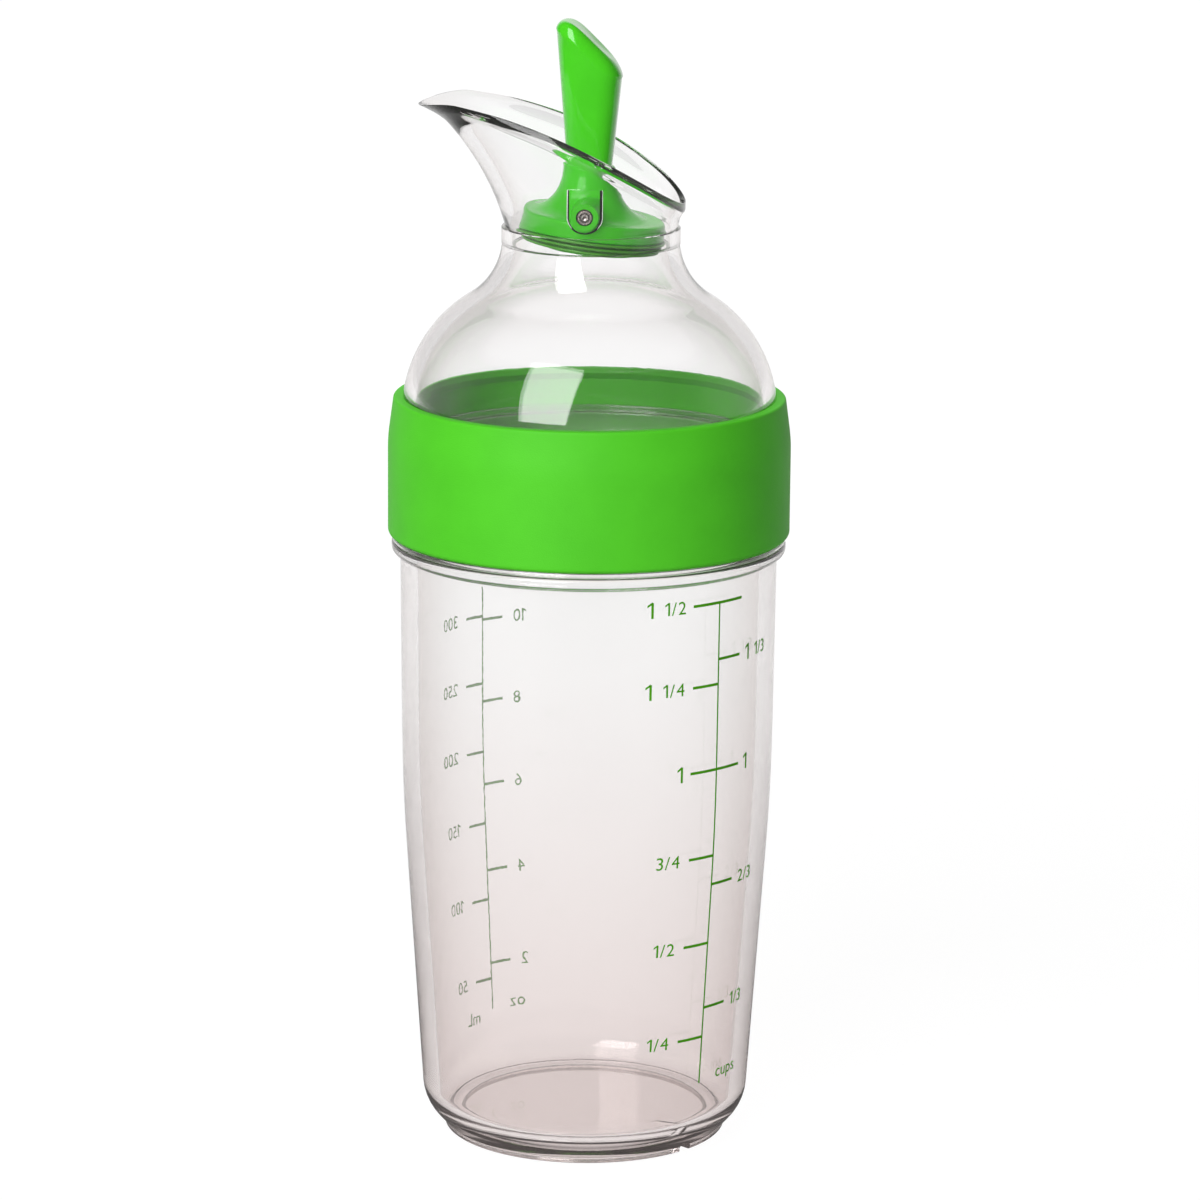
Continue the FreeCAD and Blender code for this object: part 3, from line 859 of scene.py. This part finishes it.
def buildSeal():
    corners = [("inner", "bottom", 0)]
    pitch = (seal["top"] - seal["bottom"] - seal["lipThickness"]) / (len(seal["lips"]) - 1)
    for index, lipR in reversed(list(enumerate(seal["lips"]))):
        lipTop = seal["top"] - index * pitch
        if index < len(seal["lips"]) - 1:
            corners.append(("rootR", lipTop - seal["lipThickness"], "rootRound"))
        corners.append((lipR, lipTop - seal["lipThickness"], "lipRound"))
        corners.append((lipR, lipTop, "lipRound"))
        if index > 0:
            corners.append(("rootR", lipTop, "rootRound"))
    corners.append(("inner", "top", 0))
    ring = spinOutline("stopperSeal", roundedOutline(seal, corners), seal["segments"])
    leanOnDisc(ring)
    placePiece(ring, "stopper_seal", "stopper", greenSeal)


buildSeal()

pin = {
    "r": 1.6, "end": 16.0, "chamfer": 0.25, "dimpleR": 0.5, "dimpleDepth": 0.35,
    "grooves": (0.85, 1.2), "grooveHalf": 0.06, "grooveDepth": 0.14, "sides": 64, "smoothAngle": 8,
}


def buildPin():
    end, halfGroove = pin["end"], pin["grooveHalf"]
    half = [(0, end - pin["dimpleDepth"]), (pin["dimpleR"], end)]
    for groove in pin["grooves"]:
        half += [(groove - halfGroove, end), (groove, end - pin["grooveDepth"]), (groove + halfGroove, end)]
    half += [(pin["r"] - pin["chamfer"], end), (pin["r"], end - pin["chamfer"])]
    outline = half + [(radius, -height) for radius, height in reversed(half)]
    rod = spinOutline("pivotPin", outline, pin["sides"], closed=False)
    rod.rotation_euler = (math.pi / 2, 0, 0)
    rod.location = (0, 0, stopper["pinZ"] * mm)
    fixPlace(rod)
    placePiece(rod, "pivot_pin", "stopper", ringShadedSteel, pin["smoothAngle"])


buildPin()

lever = {
    "foot": 7.6, "top": 36.05, "frontFoot": -4.7, "frontTop": -7.0, "backFoot": 3.99, "backTop": 6.9,
    "crestX": -3.6, "shoulder": 25.8, "sideFoot": 4.42, "sideTop": 6.0, "fullness": 2.7, "soft": 0.8,
    "roundIn": 2.0, "roundDown": 2.0, "roundSide": 2.6, "dish": 0.5, "dishRun": 4.0, "edgeGuess": 30.0,
    "segments": 80, "sideRings": 12, "roundRings": 9, "topRings": 8, "smoothAngle": 50,
}


# height of the lever's top over x: level at the front, falling along the thumb face
def leverTop(x):
    fall = (lever["top"] - lever["shoulder"]) / (lever["backTop"] - lever["crestX"])
    slant = lever["shoulder"] + (lever["backTop"] - x) * fall
    near = min(lever["top"], slant)
    return near - lever["soft"] * math.log(1 + math.exp(-abs(lever["top"] - slant) / lever["soft"]))


def leverSide(angle, z):
    rise = (z - lever["foot"]) / (lever["top"] - lever["foot"])

    def upwards(name):
        return lever[name + "Foot"] + (lever[name + "Top"] - lever[name + "Foot"]) * rise

    def fuller(value):
        return math.copysign(abs(value) ** (2 / lever["fullness"]), value)

    front, back, side = upwards("front"), upwards("back"), upwards("side")
    across, deep = fuller(math.cos(angle)), fuller(math.sin(angle))
    return Vector(((front + back) / 2 + (back - front) / 2 * across, side * deep, z))


# one outline from the foot up the side, round the edge and over the dished top to its middle
def leverOutline(angle):
    edgeZ = lever["edgeGuess"]
    for turn in range(settleTurns):
        edgeZ = leverTop(leverSide(angle, edgeZ).x)
    edge = leverSide(angle, edgeZ)
    radius = math.hypot(edge.x, edge.y)
    drop = lever["roundDown"] + lever["roundSide"] * abs(math.sin(angle)) ** 2
    points = []
    for step in range(lever["sideRings"] + 1):
        z = lever["foot"] + (edgeZ - drop - lever["foot"]) * step / lever["sideRings"]
        points.append(leverSide(angle, z))
    for step in range(1, lever["roundRings"] + 1):
        bend = math.pi / 2 * step / lever["roundRings"]
        share = 1 - lever["roundIn"] / radius * (1 - math.cos(bend))
        z = leverTop(edge.x * share) - drop * (1 - math.sin(bend))
        points.append(Vector((edge.x * share, edge.y * share, z)))
    inner = 1 - lever["roundIn"] / radius
    for step in range(1, lever["topRings"] + 1):
        share = inner * (1 - step / lever["topRings"])
        z = leverTop(edge.x * share)
        hollow = lever["dish"] * (1 - (share / inner) ** 2) * min(1, (lever["top"] - z) / lever["dishRun"])
        points.append(Vector((edge.x * share, edge.y * share, z - hollow)))
    return points


# drawn up and shaped as the spout is, with its foot closed
def buildLever():
    column = startRing("flipLever", lever["segments"])
    editAll(column)
    bpy.ops.mesh.edge_face_add()
    bpy.ops.mesh.select_all(action="SELECT")
    for ring in range(len(leverOutline(0)) - 1):
        bpy.ops.mesh.extrude_region_move(TRANSFORM_OT_translate={"value": (0, 0, mm)})
    bpy.ops.mesh.delete(type="ONLY_FACE")
    backToObject()
    shapeTube(column, lever["segments"], 1, leverOutline, stopper["pinZ"])
    closeMesh(column, mergeGap)
    placePiece(column, "flip_lever", "stopper", greenGloss, lever["smoothAngle"])


buildLever()


# printed measuring scales, wrapped on the outside of the cup

ink = {
    "line": 0.32, "tick": 0.55, "film": 0.05, "lift": 0.02, "away": 55.0, "mergeGap": 0.0005,
    "whole": 4.5, "fraction": 3.65, "word": 3.7, "letterGap": 0.11, "wordGap": 2.2, "labelStart": 8.1,
    "middle": 0.345, "curveSteps": 6, "lineCuts": 24, "tickCuts": 6,
}
figureOne = {"tall": 0.69, "thick": 0.1, "flag": 0.16, "slope": 0.7, "cuts": 2}  # shares of a figure's size
# ticks are (height, left end, right end), labels (height, side, whole figure, fraction)
# and words (height, start, word)
cupScale = {
    "name": "cupScale", "turn": -42.5, "bottom": 15.5, "top": 113.0,
    "ticks": [
        (113.0, -6.4, 6.4), (101.8, 0, 6.1), (96.9, -6.2, 0), (79.9, -6.4, 6.4), (62.5, -6.0, 0),
        (56.6, 0, 6.0), (44.6, -6.0, 0), (31.2, 0, 6.0), (25.2, -6.0, 0),
    ],
    "labels": [
        (113.0, -1, "1", "1/2"), (101.8, 1, "1", "1/3"), (96.9, -1, "1", "1/4"), (79.9, -1, "1", ""),
        (79.9, 1, "1", ""), (62.5, -1, "", "3/4"), (56.6, 1, "", "2/3"), (44.6, -1, "", "1/2"),
        (31.2, 1, "", "1/3"), (25.2, -1, "", "1/4"),
    ],
    "words": [(16.9, 4.8, "cups")],
}
fluidMarks = ((97.7, "300"), (83.7, "250"), (69.4, "200"), (54.4, "150"), (38.6, "100"), (22.0, "50"))
ounceMarks = ((96.9, "10"), (79.9, "8"), (62.5, "6"), (44.6, "4"), (25.2, "2"))
fluidScale = {
    "name": "fluidScale", "turn": 133.5, "bottom": 15.5, "top": 104.2,
    "ticks": [(z, 0, 5.0) for z, text in fluidMarks] + [(z, -5.4, 0) for z, text in ounceMarks],
    "labels": [(z, 1, "", text) for z, text in fluidMarks] + [(z, -1, "", text) for z, text in ounceMarks],
    "words": [(14.6, 4.0, "mL"), (16.6, -8.5, "oz")],
}


def addStroke(name, left, right, low, high, cuts):
    stroke = startSquare(name)
    for vertex in stroke.data.vertices:
        vertex.co.x = (right if vertex.co.x > 0 else left) * mm
        vertex.co.y = (high if vertex.co.y > 0 else low) * mm
    editAll(stroke)
    bpy.ops.mesh.subdivide(number_cuts=cuts)
    backToObject()
    return stroke


def joinAll(parts):
    pickNone()
    for part in parts:
        part.select_set(True)
    bpy.context.view_layer.objects.active = parts[0]
    bpy.ops.object.join()
    return parts[0]


# the figure one: an upright stroke with a short flag, its foot at the origin
def addOne(size):
    tall, thick, flagEnd = figureOne["tall"] * size, figureOne["thick"] * size, figureOne["flag"] * size
    upright = addStroke("figure", flagEnd, flagEnd + thick, 0, tall, figureOne["cuts"])
    flag = addStroke("flag", 0, flagEnd + thick / 2, tall - thick, tall, figureOne["cuts"])
    for vertex in flag.data.vertices:
        vertex.co.y -= (flagEnd * mm - vertex.co.x) * figureOne["slope"]
    return joinAll([upright, flag])


def addLetter(letter, size):
    pickNone()
    bpy.ops.object.text_add(location=(0, 0, 0))
    bpy.context.object.data.body = letter
    bpy.context.object.data.size = size * mm
    bpy.context.object.data.resolution_u = ink["curveSteps"]
    bpy.ops.object.convert(target="MESH")
    return bpy.context.object


# letters set one by one from the left, then drawn to their place; returns the letters and both ends
def setWord(text, size, x, y, align):
    letters = []
    reach = 0
    for letter in text:
        piece = addOne(size) if letter == "1" else addLetter(letter, size)
        left = min(vertex.co.x for vertex in piece.data.vertices)
        width = max(vertex.co.x for vertex in piece.data.vertices) - left
        for vertex in piece.data.vertices:
            vertex.co.x += reach - left
        reach += width + ink["letterGap"] * size * mm
        letters.append(piece)
    reach -= ink["letterGap"] * size * mm
    start = x * mm - (reach if align == "RIGHT" else 0)
    for piece in letters:
        for vertex in piece.data.vertices:
            vertex.co.x += start
            vertex.co.y += (y - ink["middle"] * size) * mm
    return letters, start / mm, (start + reach) / mm


def buildScale(scale):
    half, thick = ink["line"] / 2, ink["tick"] / 2
    parts = [addStroke("stroke", -half, half, scale["bottom"], scale["top"], ink["lineCuts"])]
    for height, left, right in scale["ticks"]:
        parts.append(addStroke("tick", left, right, height - thick, height + thick, ink["tickCuts"]))
    for height, side, whole, fraction in scale["labels"]:
        start = side * ink["labelStart"]
        words = [(whole, ink["whole"]), (fraction, ink["fraction"])]
        for text, size in words if side > 0 else reversed(words):
            if text:
                letters, left, right = setWord(text, size, start, height, "LEFT" if side > 0 else "RIGHT")
                parts += letters
                start = right + ink["wordGap"] if side > 0 else left - ink["wordGap"]
    for height, start, text in scale["words"]:
        parts += setWord(text, ink["word"], start, height, "LEFT")[0]
    inkFilm = joinAll(parts)
    inkFilm.name = scale["name"]
    editAll(inkFilm)
    bpy.ops.mesh.remove_doubles(threshold=ink["mergeGap"] * mm)
    backToObject()
    turn = math.radians(scale["turn"])
    inkFilm.rotation_euler = (math.pi / 2, 0, turn + math.pi / 2)
    inkFilm.location = (ink["away"] * mm * math.cos(turn), ink["away"] * mm * math.sin(turn), 0)
    pick(inkFilm)
    wrap = inkFilm.modifiers.new("wrap", "SHRINKWRAP")
    wrap.wrap_method = "PROJECT"
    wrap.target = cupWall
    wrap.use_project_z = True
    wrap.use_negative_direction = True
    wrap.use_positive_direction = False
    wrap.offset = ink["lift"] * mm
    bpy.ops.object.modifier_apply(modifier=wrap.name)
    film = inkFilm.modifiers.new("film", "SOLIDIFY")
    film.thickness = ink["film"] * mm
    film.offset = 1.0
    bpy.ops.object.modifier_apply(modifier=film.name)
    fixPlace(inkFilm)
    placePiece(inkFilm, None, "cup", greenInk)


for scale in (cupScale, fluidScale):
    buildScale(scale)


# stage: pale floor, soft boxes and a camera at the picture's angle, in metres and degrees

stage = {
    "lens": 157.95, "sensor": 36.0, "nearest": 0.05, "aimZ": 0.1071, "distance": 1.037,
    "pitch": 12.84, "turn": 4.5, "roll": 0.44, "shift": 0.00983, "lightAimZ": 0.15,
}
# pairs run from near to far, from front to back, or from level to overhead
paleFloor = {
    "size": 12.0, "z": -0.0002, "grey": 0.6, "rough": 0.9, "glow": (1.18, 1.3), "glowAway": (0.3, 2.0),
    "glowShare": 0.75, "mirrored": (0.12, 0.9), "mirroredY": (0.05, 0.3), "dimY": (-0.6, -0.3),
}
studio = {
    "plain": 0.24, "mirrored": (0.08, 0.9), "mirroredY": (0.55, 0.95),
    "sky": (0.88, 0.36), "skyZ": (0.27, 0.6), "dimY": (-0.3, 0.1), "frontDim": 0.12,
}
softBoxes = {
    "keyBox": {"azimuth": -114.5, "elevation": 31.0, "distance": 1.25, "size": (0.7, 1.1), "power": 16.0},
    "backBox": {"azimuth": 97.0, "elevation": 38.0, "distance": 1.5, "size": (0.8, 0.8), "power": 9.0},
}


# one where the ray comes from the camera or through clear walls, and one where it is a plain mirror ray
def sortRays(nodes, links, path):
    through = path.outputs["Is Transmission Ray"]
    seen = addMath(nodes, links, "MAXIMUM", path.outputs["Is Camera Ray"], through)
    bounced = addMath(nodes, links, "SUBTRACT", path.outputs["Is Glossy Ray"], through)
    bounced.node.use_clamp = True
    return seen, bounced


# dims a level in front of the bottle for rays that were mirrored once, as the dark side of a studio does
def dimFront(nodes, links, path, level, place, span):
    front = rampValue(nodes, links, place, studio["frontDim"], 1.0, *span)
    once = addMath(nodes, links, "COMPARE", path.outputs["Glossy Depth"], 1.0, 0.5)
    return addMath(nodes, links, "MULTIPLY", level, rampValue(nodes, links, once, 1.0, front))


# white to the camera and through the clear walls, fading up with distance so that the far floor is as white
def buildFloor():
    pickNone()
    bpy.ops.mesh.primitive_plane_add(size=paleFloor["size"], location=(0, 0, paleFloor["z"]))
    floor = nameNewest("floor")
    material, nodes, links, shader = startMaterial("paleFloor")
    grey = paleFloor["grey"]
    shader.inputs["Base Color"].default_value = (grey, grey, grey, 1)
    shader.inputs["Roughness"].default_value = paleFloor["rough"]
    place = nodes.new("ShaderNodeTexCoord").outputs["Object"]
    split = splitPlace(nodes, links, place)
    away = addLength(nodes, links, place)
    path = nodes.new("ShaderNodeLightPath")
    seen, bounced = sortRays(nodes, links, path)
    far = rampValue(nodes, links, away, *paleFloor["glow"], *paleFloor["glowAway"])
    level = dimFront(nodes, links, path, far, split["Y"], paleFloor["dimY"])
    glow = nodes.new("ShaderNodeEmission")
    links.new(level, glow.inputs["Strength"])
    share = addMath(nodes, links, "MULTIPLY", seen, paleFloor["glowShare"])
    mix = mixShaders(nodes, links, share, shader.outputs["BSDF"], glow.outputs["Emission"])
    behind = rampValue(nodes, links, split["Y"], *paleFloor["mirrored"], *paleFloor["mirroredY"])
    dim = nodes.new("ShaderNodeEmission")
    links.new(behind, dim.inputs["Strength"])
    mirrored = mixShaders(nodes, links, bounced, mix, dim.outputs["Emission"])
    links.new(mirrored, nodes["Material Output"].inputs["Surface"])
    floor.data.materials.append(material)


# white to look at, darker overhead through the clear walls, and a plain level of light for the rest
def buildWorld():
    world = bpy.data.worlds.new("studio")
    bpy.context.scene.world = world
    world.use_nodes = True
    nodes, links = world.node_tree.nodes, world.node_tree.links
    split = splitPlace(nodes, links, nodes.new("ShaderNodeTexCoord").outputs["Generated"])
    path = nodes.new("ShaderNodeLightPath")
    seen, bounced = sortRays(nodes, links, path)
    behind = rampValue(nodes, links, split["Y"], *studio["mirrored"], *studio["mirroredY"])
    plain = nodes["Background"]
    plain.inputs["Color"].default_value = (1, 1, 1, 1)
    links.new(rampValue(nodes, links, bounced, studio["plain"], behind), plain.inputs["Strength"])
    overhead = rampValue(nodes, links, split["Z"], *studio["sky"], *studio["skyZ"])
    level = addMath(nodes, links, "MAXIMUM", overhead, path.outputs["Is Camera Ray"])
    sky = nodes.new("ShaderNodeBackground")
    sky.inputs["Color"].default_value = (1, 1, 1, 1)
    dimmed = dimFront(nodes, links, path, level, split["Y"], studio["dimY"])
    links.new(dimmed, sky.inputs["Strength"])
    mix = mixShaders(nodes, links, seen, plain.outputs["Background"], sky.outputs["Background"])
    links.new(mix, nodes["World Output"].inputs["Surface"])


def addSoftBox(name, mirrored):
    box = softBoxes[name]
    azimuth, elevation = math.radians(box["azimuth"]), math.radians(box["elevation"])
    level = math.cos(elevation)
    away = Vector((math.cos(azimuth) * level, math.sin(azimuth) * level, math.sin(elevation)))
    data = bpy.data.lights.new(name, "AREA")
    data.shape = "RECTANGLE"
    data.size, data.size_y = box["size"]
    data.energy = box["power"]
    lamp = bpy.data.objects.new(name, data)
    lamp.location = Vector((0, 0, stage["lightAimZ"])) + away * box["distance"]
    lamp.rotation_euler = away.to_track_quat("Z", "Y").to_euler()
    lamp.visible_glossy = mirrored
    lamp.visible_transmission = mirrored
    bpy.context.scene.collection.objects.link(lamp)


def buildCamera():
    data = bpy.data.cameras.new("camera")
    data.lens = stage["lens"]
    data.sensor_width = stage["sensor"]
    data.shift_x = stage["shift"]
    data.clip_start = stage["nearest"]
    camera = bpy.data.objects.new("camera", data)
    turn = Matrix.Rotation(math.radians(stage["turn"]), 4, "Z")
    tip = Matrix.Rotation(math.radians(90 - stage["pitch"]), 4, "X")
    roll = Matrix.Rotation(math.radians(stage["roll"]), 4, "Z")
    view = turn @ tip @ roll
    away = view.to_3x3() @ Vector((0, 0, stage["distance"]))
    camera.matrix_world = Matrix.Translation(Vector((0, 0, stage["aimZ"])) + away) @ view
    bpy.context.scene.collection.objects.link(camera)
    bpy.context.scene.camera = camera


buildFloor()
buildWorld()
addSoftBox("keyBox", True)
addSoftBox("backBox", False)
buildCamera()
print("stage set")
